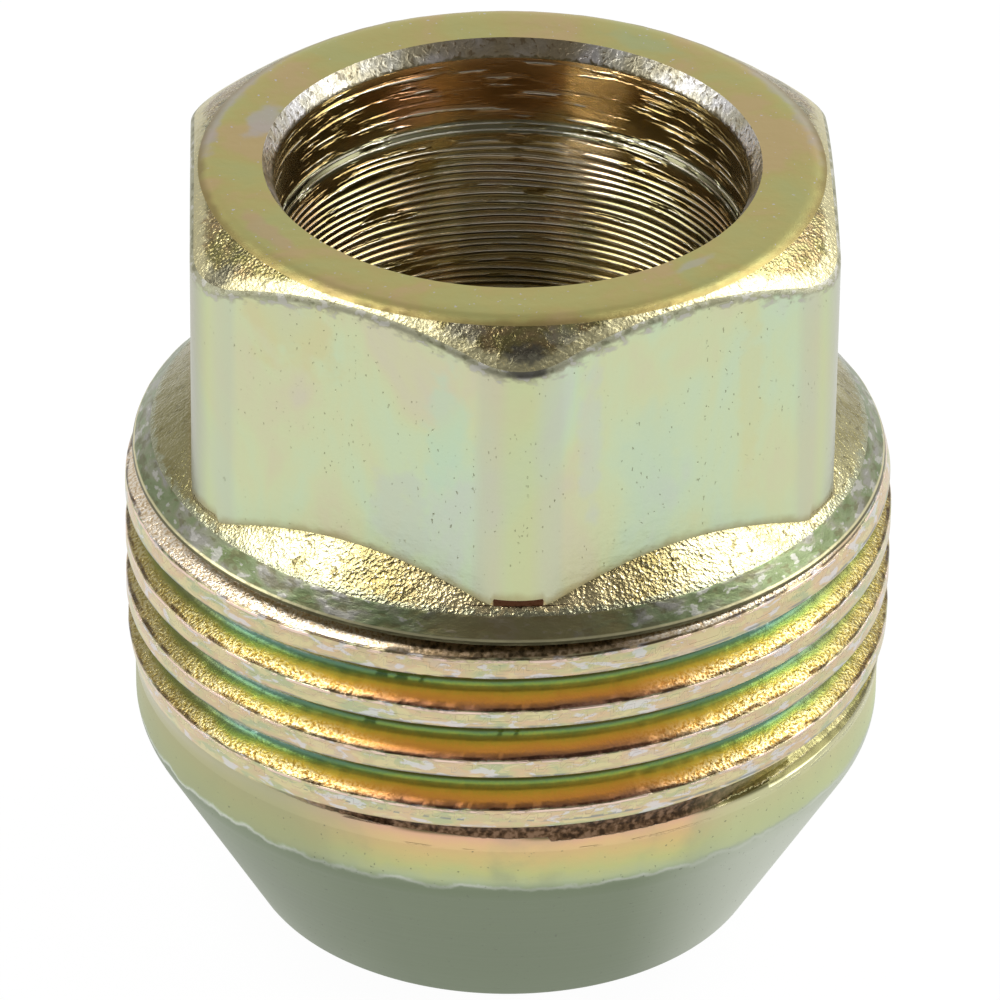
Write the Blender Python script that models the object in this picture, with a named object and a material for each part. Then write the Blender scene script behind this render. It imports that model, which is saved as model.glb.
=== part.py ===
"""Wheel nut with a conical seat and an outer thread for a screw-on cap.

The nut is one piece of steel, turned from hexagon bar and open right through. It stands on
its small end with its axis along +Z, and one corner of its hexagon points along -Y. From
the small end up it has a 60 degree seat, a plain barrel, a right-hand thread that runs out
above the barrel, a sloping shoulder and the hexagon head. A counterbore opens in the head's
end face, and below its floor the bore is sized for tapping to the wheel stud.
"""

import math

import bmesh
import bpy

MM = 0.001

# Hexagon head
ACROSS_FLATS = 22.0 * MM
CORNER_RADIUS = 2.9 * MM
OVERALL_HEIGHT = 28.5 * MM
END_FACE_INSET = 0.52 * MM
END_FACE_EDGE_RADIUS = 1.0 * MM
END_CHAMFER_ANGLE = math.radians(34.5)
END_CHAMFER_EDGE_RADIUS = 0.32 * MM

# Shoulder between the head and the outer thread
SHOULDER_HEIGHT = 17.97 * MM
SHOULDER_LEDGE = 0.2 * MM
SHOULDER_ANGLE = math.radians(37.0)

# Outer thread that carries the cap, which passes over the head's corners
CAP_CLEARANCE = 0.305 * MM
THREAD_PITCH = 2.0 * MM
THREAD_FLANK_ANGLE = math.radians(30.0)
CREST_FLAT = 0.68 * MM
ROOT_RADIUS = 0.35 * MM
LEAD_CHAMFER_HEIGHT = 0.62 * MM
LEAD_CHAMFER_WIDTH = 0.59 * MM
LEAD_LIP = 0.13 * MM
LEAD_CROWN_RADIUS = 4.7 * MM
RUN_OUT_ANGLE = math.radians(120.0)
RUN_OUT_START = math.radians(60.0)
RUN_OUT_LIFT = 0.65 * MM

# Barrel and conical seat
BARREL_STEP = 0.3 * MM
BARREL_STEP_RADIUS = 7.0 * MM
BARREL_LAND = 2.03 * MM
SEAT_HALF_ANGLE = math.radians(30.0)
SEAT_BLEND_RADIUS = 1.7 * MM
SEAT_LAND = 1.74 * MM
SEAT_EDGE_RADIUS = 0.4 * MM

# Bore: tapped for the wheel stud, then open to pass its end
STUD_DIAMETER = 14.0 * MM
STUD_PITCH = 1.5 * MM
TAP_CHAMFER = 0.25 * MM
BORE_CLEARANCE = 0.9 * MM
MOUTH_STEP = 0.25 * MM
MOUTH_STEP_DEPTH = 3.1 * MM
MOUTH_STEP_TAPER = 0.37 * MM
MOUTH_CHAMFER_WIDTH = 0.39 * MM
MOUTH_CHAMFER_DEPTH = 0.6 * MM
COUNTERBORE_DEPTH = 10.5 * MM
DRILL_POINT_HALF_ANGLE = math.radians(59.0)

# Facets of the curved surfaces
TURN_FACETS = 72
CORNER_FACETS = 4
FLAT_FACETS = 6
EDGE_FACETS = 3
ROOT_FACETS = 4

# How far a cutter reaches past the metal, and the head and the shoulder into each other
OVERCUT = 0.5 * MM
THREAD_OVERCUT = 0.35 * MM
HEAD_ROOT = 2.5 * MM
SHOULDER_ROOT = 1.0 * MM

# Faces that meet at less than this are shaded as one surface
SMOOTH_ANGLE = math.radians(25.0)

# Sizes that follow from the ones above
CORNER_REACH = (ACROSS_FLATS / 2 - CORNER_RADIUS) / math.cos(math.pi / 6) + CORNER_RADIUS
THREAD_ROOT_R = CORNER_REACH + CAP_CLEARANCE
GROOVE_HALF_WIDTH = (THREAD_PITCH - CREST_FLAT) / 2
GROOVE_APEX_DEPTH = GROOVE_HALF_WIDTH / math.tan(THREAD_FLANK_ANGLE)
THREAD_DEPTH = GROOVE_APEX_DEPTH - ROOT_RADIUS * (1 / math.sin(THREAD_FLANK_ANGLE) - 1)
THREAD_R = THREAD_ROOT_R + THREAD_DEPTH
SHOULDER_R = CORNER_REACH + SHOULDER_LEDGE
BARREL_R = THREAD_R - BARREL_STEP
TAP_CHAMFER_R = STUD_DIAMETER / 2 + TAP_CHAMFER
TAP_DRILL_R = STUD_DIAMETER / 2 - 5 / 8 * math.cos(math.pi / 6) * STUD_PITCH
SEAT_END_R = TAP_CHAMFER_R + SEAT_LAND
SEAT_HEIGHT = (BARREL_R - SEAT_END_R) / math.tan(SEAT_HALF_ANGLE)
BORE_R = STUD_DIAMETER / 2 + BORE_CLEARANCE
MOUTH_R = BORE_R + MOUTH_STEP


def clear_scene():
    for obj in list(bpy.data.objects):
        bpy.data.objects.remove(obj, do_unlink=True)


def new_object(name, mesh):
    obj = bpy.data.objects.new(name, mesh)
    bpy.context.collection.objects.link(obj)
    return obj


def mark_as_tool(obj):
    """Show a cutter or a joined-in solid as wire, and keep it out of the model."""
    obj.hide_render = True
    obj.display_type = "WIRE"


def arc(centre, radius, start, end, facets):
    """Points on an arc in the (r, z) plane, angles counted from +r towards +z."""
    points = []
    for i in range(facets + 1):
        angle = start + (end - start) * i / facets
        r = centre[0] + radius * math.cos(angle)
        z = centre[1] + radius * math.sin(angle)
        points.append((r, z))
    return points


def turned(name, profile, start):
    """Solid of revolution from (r, z) points that run down its outer side.

    Its first facet begins at the start angle, so that solids which cut each other can keep
    their facets' edges apart.
    """
    points = [(r * math.cos(start), r * math.sin(start), z) for r, z in profile]
    edges = [(i, i + 1) for i in range(len(points) - 1)]
    mesh = bpy.data.meshes.new(name)
    mesh.from_pydata(points, edges, [])
    obj = new_object(name, mesh)
    screw = obj.modifiers.new("Turn", "SCREW")
    screw.axis = "Z"
    screw.angle = 2 * math.pi
    screw.steps = TURN_FACETS
    screw.render_steps = TURN_FACETS
    screw.use_merge_vertices = True
    screw.merge_threshold = 0.001 * MM
    return obj


def easing(drop, radius, room):
    """Radius and angle of an arc that eases a side in by a drop within the room it has."""
    widest = (room * room + drop * drop) / (2 * drop)
    radius = min(radius, widest)
    return radius, math.acos(1 - drop / radius)


def shank():
    """Turned shank, from the shoulder down to the conical seat, before threading."""
    top_r = ACROSS_FLATS / 2 - SHOULDER_ROOT
    top = SHOULDER_HEIGHT + (SHOULDER_R - top_r) * math.tan(SHOULDER_ANGLE)
    profile = [(0.0, top), (top_r, top), (SHOULDER_R, SHOULDER_HEIGHT)]

    crown_top = SHOULDER_HEIGHT - LEAD_CHAMFER_HEIGHT
    step_foot = SEAT_HEIGHT + BARREL_LAND
    room = (crown_top - step_foot) / 2
    crown_drop = THREAD_R - SHOULDER_R - LEAD_CHAMFER_WIDTH
    crown_radius, crown_angle = easing(crown_drop, LEAD_CROWN_RADIUS, room)
    crown_foot = crown_top - crown_radius * math.sin(crown_angle)
    profile += arc((THREAD_R - crown_radius, crown_foot), crown_radius, crown_angle, 0.0, 3)
    step_radius, step_angle = easing(BARREL_STEP, BARREL_STEP_RADIUS, room)
    step_top = step_foot + step_radius * math.sin(step_angle)
    profile += arc((THREAD_R - step_radius, step_top), step_radius, 0.0, -step_angle, 3)

    blend_reach = SEAT_BLEND_RADIUS * math.tan(SEAT_HALF_ANGLE / 2)
    blend_centre = (BARREL_R - SEAT_BLEND_RADIUS, SEAT_HEIGHT + blend_reach)
    profile += arc(blend_centre, SEAT_BLEND_RADIUS, 0.0, -SEAT_HALF_ANGLE, 4)

    edge_turn = math.pi / 2 - SEAT_HALF_ANGLE
    edge_reach = SEAT_EDGE_RADIUS * math.tan(edge_turn / 2)
    edge_centre = (SEAT_END_R - edge_reach, SEAT_EDGE_RADIUS)
    profile += arc(edge_centre, SEAT_EDGE_RADIUS, -SEAT_HALF_ANGLE, -math.pi / 2, EDGE_FACETS)
    profile.append((0.0, 0.0))
    return turned("shank", profile, math.pi / TURN_FACETS)


def groove_section():
    """Thread groove as (depth below the crest, offset along the axis) points."""
    outer_half_width = GROOVE_HALF_WIDTH + THREAD_OVERCUT * math.tan(THREAD_FLANK_ANGLE)
    root_centre = THREAD_DEPTH - ROOT_RADIUS
    root_half_angle = math.pi / 2 - THREAD_FLANK_ANGLE
    section = [(-THREAD_OVERCUT, outer_half_width)]
    for i in range(ROOT_FACETS + 1):
        angle = root_half_angle * (1 - 2 * i / ROOT_FACETS)
        depth = root_centre + ROOT_RADIUS * math.cos(angle)
        section.append((depth, ROOT_RADIUS * math.sin(angle)))
    section.append((-THREAD_OVERCUT, -outer_half_width))
    return section


def tool_lift(angle):
    """How far the threading tool has drawn back where the thread runs out."""
    t = (RUN_OUT_START - angle) / RUN_OUT_ANGLE
    t = min(max(t, 0.0), 1.0)
    return RUN_OUT_LIFT * t * t * (3 - 2 * t)


def cut_off_above(bm, height):
    """Cut a closed mesh off at a height and close it with a flat face."""
    everything = bm.verts[:] + bm.edges[:] + bm.faces[:]
    level = (0.0, 0.0, height)
    up = (0.0, 0.0, 1.0)
    cut = bmesh.ops.bisect_plane(
        bm, geom=everything, plane_co=level, plane_no=up, clear_outer=True
    )
    rim = [part for part in cut["geom_cut"] if isinstance(part, bmesh.types.BMEdge)]
    bmesh.ops.triangle_fill(bm, edges=rim, use_beauty=True)


def thread_cutter():
    """The groove swept along a right-hand helix.

    At the bottom the tool draws back and leaves the upper edge of the groove on its helix.
    At the top the groove ends under a lip that runs level below the lead chamfer, so the
    sweep goes on past the lip and is cut off there. Angles are counted from -Y towards +X.
    """
    section = groove_section()
    start_angle = RUN_OUT_START - RUN_OUT_ANGLE
    start_height = SEAT_HEIGHT + BARREL_LAND + GROOVE_HALF_WIDTH
    lip_height = SHOULDER_HEIGHT - LEAD_CHAMFER_HEIGHT - LEAD_LIP
    last_height = lip_height + section[0][1]
    rise = THREAD_PITCH / (2 * math.pi)
    last_angle = RUN_OUT_START + (last_height - start_height) / rise
    step = 2 * math.pi / TURN_FACETS
    stations = math.ceil((last_angle - start_angle) / step)

    bm = bmesh.new()
    rings = []
    for i in range(stations + 1):
        angle = start_angle + i * step
        lift = tool_lift(angle)
        height = start_height + (angle - RUN_OUT_START) * rise
        height += lift * math.tan(THREAD_FLANK_ANGLE)
        ring = []
        for depth, offset in section:
            r = THREAD_R - depth + lift
            x = r * math.sin(angle)
            y = -r * math.cos(angle)
            ring.append(bm.verts.new((x, y, height + offset)))
        rings.append(ring)
    bm.faces.new(rings[0])
    bm.faces.new(reversed(rings[-1]))
    for near, far in zip(rings, rings[1:]):
        for i in range(len(section)):
            j = (i + 1) % len(section)
            bm.faces.new((near[i], far[i], far[j], near[j]))
    bmesh.ops.triangulate(bm, faces=bm.faces)
    cut_off_above(bm, lip_height)
    bmesh.ops.recalc_face_normals(bm, faces=bm.faces)
    mesh = bpy.data.meshes.new("thread_cutter")
    bm.to_mesh(mesh)
    bm.free()
    return new_object("thread_cutter", mesh)


def hexagon_outline():
    """Hexagon with rounded corners as (x, y) points, the first corner along -Y."""
    arc_centre = (ACROSS_FLATS / 2 - CORNER_RADIUS) / math.cos(math.pi / 6)
    flat_half = (ACROSS_FLATS / 2 - CORNER_RADIUS) * math.tan(math.pi / 6)
    side = []
    for i in range(CORNER_FACETS + 1):
        angle = math.radians(-30 + 60 * i / CORNER_FACETS)
        out = arc_centre + CORNER_RADIUS * math.cos(angle)
        side.append((out, CORNER_RADIUS * math.sin(angle)))
    for i in range(1, FLAT_FACETS):
        along = -flat_half + 2 * flat_half * i / FLAT_FACETS
        turn = math.pi / 6
        out = ACROSS_FLATS / 2 * math.cos(turn) - along * math.sin(turn)
        side.append((out, ACROSS_FLATS / 2 * math.sin(turn) + along * math.cos(turn)))
    outline = []
    for k in range(6):
        turn = math.radians(60 * k - 90)
        for out, across in side:
            x = out * math.cos(turn) - across * math.sin(turn)
            y = out * math.sin(turn) + across * math.cos(turn)
            outline.append((x, y))
    return outline


def head_column(reach, head_foot):
    """(r, z) points up the head where its outline lies at a distance from the axis.

    The end chamfer is a cone, so it comes down lowest at the corners. Its lower edge and its
    edge with the end face are rounded all the way round.
    """
    end_face_r = ACROSS_FLATS / 2 - END_FACE_INSET
    edge_height = OVERALL_HEIGHT - (reach - end_face_r) * math.tan(END_CHAMFER_ANGLE)
    edge_turn = math.pi / 2 - END_CHAMFER_ANGLE
    edge_reach = END_CHAMFER_EDGE_RADIUS * math.tan(edge_turn / 2)
    edge_centre = (reach - END_CHAMFER_EDGE_RADIUS, edge_height - edge_reach)
    column = [(reach, head_foot)]
    column += arc(edge_centre, END_CHAMFER_EDGE_RADIUS, 0.0, edge_turn, EDGE_FACETS)
    face_reach = END_FACE_EDGE_RADIUS * math.tan(END_CHAMFER_ANGLE / 2)
    face_centre = (end_face_r - face_reach, OVERALL_HEIGHT - END_FACE_EDGE_RADIUS)
    column += arc(face_centre, END_FACE_EDGE_RADIUS, edge_turn, math.pi / 2, EDGE_FACETS)
    return column


def hexagon_head():
    """The head, lofted through rings that follow its outline."""
    head_foot = SHOULDER_HEIGHT - HEAD_ROOT
    bm = bmesh.new()
    columns = []
    for x, y in hexagon_outline():
        reach = math.hypot(x, y)
        column = []
        for r, z in head_column(reach, head_foot):
            column.append(bm.verts.new((x * r / reach, y * r / reach, z)))
        columns.append(column)
    bm.faces.new([column[0] for column in reversed(columns)])
    bm.faces.new([column[-1] for column in columns])
    for i, near in enumerate(columns):
        far = columns[(i + 1) % len(columns)]
        for j in range(len(near) - 1):
            bm.faces.new((near[j], far[j], far[j + 1], near[j + 1]))
    mesh = bpy.data.meshes.new("head")
    bm.to_mesh(mesh)
    bm.free()
    return new_object("head", mesh)


def bore_cutter():
    """Mouth chamfer, stepped counterbore with a drill-point floor, and tapping bore."""
    taper = MOUTH_CHAMFER_WIDTH / MOUTH_CHAMFER_DEPTH
    floor_top = OVERALL_HEIGHT - COUNTERBORE_DEPTH
    floor_drop = (BORE_R - TAP_DRILL_R) / math.tan(DRILL_POINT_HALF_ANGLE)
    profile = [
        (0.0, OVERALL_HEIGHT + OVERCUT),
        (MOUTH_R + MOUTH_CHAMFER_WIDTH + OVERCUT * taper, OVERALL_HEIGHT + OVERCUT),
        (MOUTH_R, OVERALL_HEIGHT - MOUTH_CHAMFER_DEPTH),
        (MOUTH_R, OVERALL_HEIGHT - MOUTH_STEP_DEPTH),
        (BORE_R, OVERALL_HEIGHT - MOUTH_STEP_DEPTH - MOUTH_STEP_TAPER),
        (BORE_R, floor_top),
        (TAP_DRILL_R, floor_top - floor_drop),
        (TAP_DRILL_R, TAP_CHAMFER_R - TAP_DRILL_R),
        (TAP_CHAMFER_R + OVERCUT, -OVERCUT),
        (0.0, -OVERCUT),
    ]
    return turned("bore_cutter", profile, 0.0)


def combine(obj, tool, operation):
    """Add a Boolean of another solid to an object."""
    mark_as_tool(tool)
    modifier = obj.modifiers.new(tool.name, "BOOLEAN")
    modifier.operation = operation
    modifier.object = tool
    modifier.solver = "EXACT"


def apply_modifiers(obj):
    """Replace an object's mesh with its evaluated one, shaded smooth between edges."""
    graph = bpy.context.evaluated_depsgraph_get()
    mesh = bpy.data.meshes.new_from_object(obj.evaluated_get(graph))
    obj.modifiers.clear()
    obj.data = mesh
    mesh.shade_smooth()
    mesh.set_sharp_from_angle(angle=SMOOTH_ANGLE)


def yellow_zinc():
    """Steel with a yellow chromate finish over its zinc plating."""
    material = bpy.data.materials.new("yellow_zinc_steel")
    material.use_nodes = True
    shader = material.node_tree.nodes["Principled BSDF"]
    shader.inputs["Base Color"].default_value = (0.56, 0.47, 0.24, 1.0)
    shader.inputs["Metallic"].default_value = 1.0
    shader.inputs["Roughness"].default_value = 0.38
    return material


def lug_nut():
    nut = shank()
    nut.name = "lug_nut"
    combine(nut, thread_cutter(), "DIFFERENCE")
    combine(nut, hexagon_head(), "UNION")
    combine(nut, bore_cutter(), "DIFFERENCE")
    apply_modifiers(nut)
    nut.data.materials.clear()
    nut.data.materials.append(yellow_zinc())


clear_scene()
lug_nut()
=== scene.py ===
"""Looks of the wheel nut: its fine surface, its yellow chromate finish, the studio and camera.

The nut's surface is one sheet. It runs as rings from the small end up the outside, over the
head's end face and down the bore, and both threads are helical strips between two rings. It
is closed but for a level slit in the bore, where the stud's thread ends below the
counterbore's floor. Lengths are in millimetres until the mesh is made, with z = 0 at the
small end and angles counted from -Y towards +X, where a corner of the hexagon lies.
"""

import math
from functools import partial
from types import SimpleNamespace

import bpy
import numpy as np
from mathutils import Matrix, Vector


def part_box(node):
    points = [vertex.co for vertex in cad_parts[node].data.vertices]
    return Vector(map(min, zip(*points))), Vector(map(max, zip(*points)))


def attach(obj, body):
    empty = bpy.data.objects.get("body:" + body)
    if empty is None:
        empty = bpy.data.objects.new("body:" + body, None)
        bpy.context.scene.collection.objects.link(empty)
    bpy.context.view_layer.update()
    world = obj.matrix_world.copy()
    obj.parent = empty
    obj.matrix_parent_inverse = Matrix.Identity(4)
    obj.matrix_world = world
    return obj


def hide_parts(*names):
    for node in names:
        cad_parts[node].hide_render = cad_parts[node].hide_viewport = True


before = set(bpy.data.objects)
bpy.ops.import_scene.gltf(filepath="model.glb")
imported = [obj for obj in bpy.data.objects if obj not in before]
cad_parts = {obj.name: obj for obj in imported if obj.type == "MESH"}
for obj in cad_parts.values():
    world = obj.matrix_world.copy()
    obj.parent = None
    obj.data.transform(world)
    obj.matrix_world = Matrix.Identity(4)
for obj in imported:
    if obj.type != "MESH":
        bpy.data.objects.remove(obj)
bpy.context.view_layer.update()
MM = 0.001
TURN = 2 * math.pi

# Hexagon head
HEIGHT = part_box("lug_nut")[1][2] / MM
ACROSS_FLATS = 22.0
CORNER_RADIUS = 2.9
CORNER_CENTRE = (ACROSS_FLATS / 2 - CORNER_RADIUS) / math.cos(TURN / 12)
CORNER_HALF_ARC = math.atan2(CORNER_RADIUS / 2, CORNER_CENTRE + CORNER_RADIUS * math.cos(TURN / 12))
END_FACE_R = 10.48
END_FACE_ROUNDING = 1.0
END_CHAMFER_ANGLE = math.radians(34.5)
EDGE_RADIUS = 0.32

# Shoulder and outer thread
SHOULDER_Z = 17.97
SHOULDER_R = 12.453
SHOULDER_ANGLE = math.radians(37.0)
TIP_R = 12.156
TIP_Z = 18.47
CREST_R = 13.351
PITCH = 2.0
FLANK = math.radians(30.0)
GROOVE_HALF = 0.66
ROOT_RADIUS = 0.35
THREAD_DEPTH = 0.793
THREAD_ROWS = [0.2, 0.303, 0.48, 0.63, 0.69, 0.82]
RUN_OUT_START = math.radians(60.0)
RUN_OUT_ANGLE = math.radians(120.0)
RUN_OUT_LIFT = 0.65
RUN_OUT_Z = 9.724

# The run-out band's lower edge: the degrees where it begins and where its step starts and
# ends, and its heights there
BAND_ANGLES = (-37.0, 4.6, 5.4)
BAND_HEIGHTS = (9.79, 9.36, 9.22)
BAND_DEPTH = 0.13
BAND_LEVEL_FROM = 25.0

# Degrees where the groove starts to grow shallow, where it begins, and how far each takes
SHALLOW_BELOW = 62.0
SHALLOW_REACH = 40.0
BEGIN = -75.0
BEGIN_REACH = 30.0

# Lead chamfer, and the arcs that ease the crests out below it and in above the barrel
LEAD_CHAMFER_Z = 17.35
LEAD_CHAMFER_R = 13.043
LIP_Z = 17.22
CROWN_RADIUS = 4.7
STEP_RADIUS = 7.0

# Barrel and seat
BARREL_R = 13.051
BARREL_TOP = 9.064
STRIP_FOOT_Z = BARREL_TOP - 0.25
SEAT_ANGLE = math.radians(30.0)
SEAT_END_R = 8.99
SEAT_BLEND = 1.7
SEAT_EDGE = 0.4
END_RING_R = 7.7

# Bore
MOUTH_RIM_R = 8.54
MOUTH_R = 8.15
MOUTH_Z = 27.9
STEP_TOP = 25.4
STEP_FOOT = 25.03
BORE_R = 7.9
BORE_FOOT = 18.0
STUD_PITCH = 1.5
STUD_MINOR_R = 6.188
STUD_MAJOR_R = 7.0
STUD_ROOT_HALF = 0.094
STUD_FLANK_END = 0.5625
TAP_CHAMFER_R = 7.25
TAP_START_Z = 17.3
FLOOR_RING_Z = TAP_START_Z + 0.25
DRILL_POINT = math.radians(59.0)

# Facets round the outside and the mouth, and round the tapped bore
AROUND = 560
AROUND_BORE = AROUND // 2
ANGLES = np.arange(AROUND) * (TURN / AROUND)


def ease(t):
    """Smooth step: 0 up to t = 0, 1 from t = 1, and 3t^2 - 2t^3 between."""
    t = np.clip(t, 0.0, 1.0)
    return t * t * (3 - 2 * t)


def lattice(ix, iy, iz, seed):
    """A repeatable value from 0 to 1 for each lattice point: the fraction of a large sine."""
    h = np.sin(ix * 127.1 + iy * 311.7 + iz * 74.7 + seed * 53.3) * 43758.5453
    return h - np.floor(h)


def cloud(p, size, seed):
    """Value noise from 0 to 1: lattice values a size apart, eased between neighbours."""
    q = np.asarray(p) / size
    cell = np.floor(q)
    w = ease(q - cell)
    total = np.zeros(q.shape[:-1])
    for step in np.ndindex(2, 2, 2):
        weight = np.prod(np.where(step, w, 1 - w), axis=-1)
        total += weight * lattice(*np.moveaxis(cell + step, -1, 0), seed)
    return total


def hexagon_radius(angle):
    """Distance from the axis to the rounded hexagon.

    On a flat it is half the width across flats over the cosine of the angle from the flat's
    middle. Near a corner it is where the ray meets the corner's circle.
    """
    from_corner = np.mod(angle + TURN / 12, TURN / 6) - TURN / 12
    flat = ACROSS_FLATS / 2 / np.cos(TURN / 12 - np.abs(from_corner))
    across = CORNER_CENTRE * np.sin(from_corner)
    inside = np.clip(CORNER_RADIUS**2 - across**2, 0.0, None)
    corner = CORNER_CENTRE * np.cos(from_corner) + np.sqrt(inside)
    return np.where(np.abs(from_corner) < CORNER_HALF_ARC, corner, flat)


def turned_radius(z):
    """Outside of the shank before threading, from the barrel up to the shoulder's edge.

    The barrel eases out to the thread's crests by one arc, the crests ease in again by
    another below the lead chamfer, and the chamfer is a straight line.
    """
    step_angle = math.acos(1 - (CREST_R - BARREL_R) / STEP_RADIUS)
    step_top = BARREL_TOP + STEP_RADIUS * math.sin(step_angle)
    below = np.clip((step_top - z) / STEP_RADIUS, 0.0, math.sin(step_angle))
    crown_angle = math.acos(1 - (CREST_R - LEAD_CHAMFER_R) / CROWN_RADIUS)
    crown_foot = LEAD_CHAMFER_Z - CROWN_RADIUS * math.sin(crown_angle)
    above = np.clip((z - crown_foot) / CROWN_RADIUS, 0.0, math.sin(crown_angle))
    r = CREST_R - STEP_RADIUS * (1 - np.sqrt(1 - below**2))
    r = r - CROWN_RADIUS * (1 - np.sqrt(1 - above**2))
    up = np.clip((z - LEAD_CHAMFER_Z) / (SHOULDER_Z - LEAD_CHAMFER_Z), 0.0, 1.0)
    return r - up * (LEAD_CHAMFER_R - SHOULDER_R)


def ragged(angle, z):
    """How far in millimetres a groove's edge strays along the axis: fine and broad noise."""
    p = np.broadcast_arrays(CREST_R * np.sin(angle), -CREST_R * np.cos(angle), 0.4 * z)
    p = np.stack(p, axis=-1)
    nick = ease((cloud(p, 0.5, 5) - 0.74) / 0.2)
    return 0.04 * (cloud(p, 0.35, 3) - 0.5) + 0.03 * (cloud(p, 1.6, 4) - 0.5) + 0.02 * nick


def thread_surface(column, z):
    """Radius of the cap thread, with each point's place across the groove and its depth.

    The groove's middle climbs one pitch a turn, and the nearest turn of it counts. Its
    flanks are straight lines at 30 degrees to the radius, its root is an arc, and it is
    lifted out of the metal by a smooth step where it runs out. There it is a shallow band,
    whose lower edge climbs to meet its upper one and steps down once.
    """
    around = ANGLES[column % AROUND]
    turn = np.round((z - RUN_OUT_Z) / PITCH - (around - RUN_OUT_START) / TURN)
    angle = around + TURN * turn
    middle = RUN_OUT_Z + (angle - RUN_OUT_START) * PITCH / TURN
    lift = RUN_OUT_LIFT * ease((RUN_OUT_START - angle) / RUN_OUT_ANGLE)
    off = z - middle - lift * math.tan(FLANK)
    stray = ragged(around, z) * np.where(off < 0, 1.0, 0.1)
    t = np.maximum(np.abs(off) - np.maximum(stray, -0.08), 0.0)
    apex = CREST_R - GROOVE_HALF / math.tan(FLANK)
    in_root = np.clip(ROOT_RADIUS**2 - t**2, 0.0, None)
    root = CREST_R - THREAD_DEPTH + ROOT_RADIUS - np.sqrt(in_root)
    flank = apex + t / math.tan(FLANK)
    groove = lift + np.where(t < ROOT_RADIUS * math.cos(FLANK), root, flank)
    whole = turned_radius(z)
    depth = np.maximum(whole - groove, 0.0)
    degrees = np.degrees(angle)
    shallow = ease((SHALLOW_BELOW - degrees) / SHALLOW_REACH)
    level = np.interp(degrees, BAND_ANGLES, BAND_HEIGHTS)
    level += np.minimum(degrees, BAND_LEVEL_FROM) * PITCH / 360
    shut = ease((level - z) / 0.08 + 0.5)
    depth = np.minimum(depth, THREAD_DEPTH * (1 - shallow) + BAND_DEPTH * shallow)
    r = whole - depth * (1 - shut * shallow) * ease((degrees - BEGIN) / BEGIN_REACH)
    return r, {"across": np.clip(off / GROOVE_HALF, -1.5, 1.5), "depth": whole - r}


SEAT, THREAD, LEAD, SHOULDER, FLAT, CHAMFER, END, MOUTH, BORE, STUD = range(10)

# What each point of the cap thread carries for its finish: its place across the groove, from
# -1 at the lower edge to 1 at the upper, and its depth in it in mm. The head's points carry
# their distances from its edges
MARKS = ("across", "depth")
EDGES = ("foot", "brow", "crown", "corner", "apart")


def arc(centre, radius, start, end, count):
    """(r, z) points on an arc, both ends included."""
    angles = np.linspace(start, end, count)
    return list(zip(centre[0] + radius * np.cos(angles), centre[1] + radius * np.sin(angles)))


def line(start, end, count):
    """(r, z) points on a straight line, without its first point."""
    t = np.linspace(0, 1, count + 1)[1:]
    return [(start[0] + (end[0] - start[0]) * a, start[1] + (end[1] - start[1]) * a) for a in t]


class Sheet:
    """Grows the nut's surface ring by ring: points, triangles and each triangle's finish."""

    def __init__(self):
        self.points = []
        self.faces = []
        self.finishes = []
        self.marks = {name: [] for name in MARKS}
        self.count = 0

    def add(self, r, angle, z, **marks):
        """New points from cylindrical coordinates; returns their numbers."""
        r, angle, z = np.broadcast_arrays(r, angle, z)
        p = np.stack([r * np.sin(angle), -r * np.cos(angle), z], axis=-1)
        numbers = self.count + np.arange(r.size).reshape(r.shape)
        self.points.append(p.reshape(-1, 3))
        for name in MARKS:
            self.marks[name].append(np.broadcast_to(marks.get(name, 0.0), r.shape).ravel())
        self.count += r.size
        return numbers

    def ring(self, r, z, around=AROUND, **marks):
        """A closed ring; r and z are numbers or one value for each point."""
        return self.add(r, ANGLES[:: AROUND // around], z, **marks)

    def quads(self, a, b, c, d, finish):
        """Two triangles for each quad a, b, c, d."""
        near = np.stack([a, b, c], axis=-1).reshape(-1, 3)
        far = np.stack([a, c, d], axis=-1).reshape(-1, 3)
        self.faces += [near, far]
        self.finishes.append(np.full(len(near) + len(far), finish))

    def bridge(self, lower, upper, finish):
        """A band between two rings, outside when the upper one lies further along."""
        self.quads(lower, np.roll(lower, -1), np.roll(upper, -1), upper, finish)

    def halve(self, fine, coarse, finish, fine_first):
        """A band between a ring and one with half as many points."""
        a = fine[0::2]
        m = fine[1::2]
        b = np.roll(a, -1)
        d = np.roll(coarse, -1)
        for x, y, w in [(a, m, coarse), (m, d, coarse), (m, b, d)]:
            order = (x, y, w) if fine_first else (y, x, w)
            tri = np.stack(order, axis=-1)
            self.faces.append(tri)
            self.finishes.append(np.full(len(tri), finish))

    def rings(self, last, points, finish, around=AROUND):
        """Bridge on from a ring through rings at a list of (r, z); returns the last one."""
        for r, z in points:
            new = self.ring(r, z, around)
            self.bridge(last, new, finish)
            last = new
        return last


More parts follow.
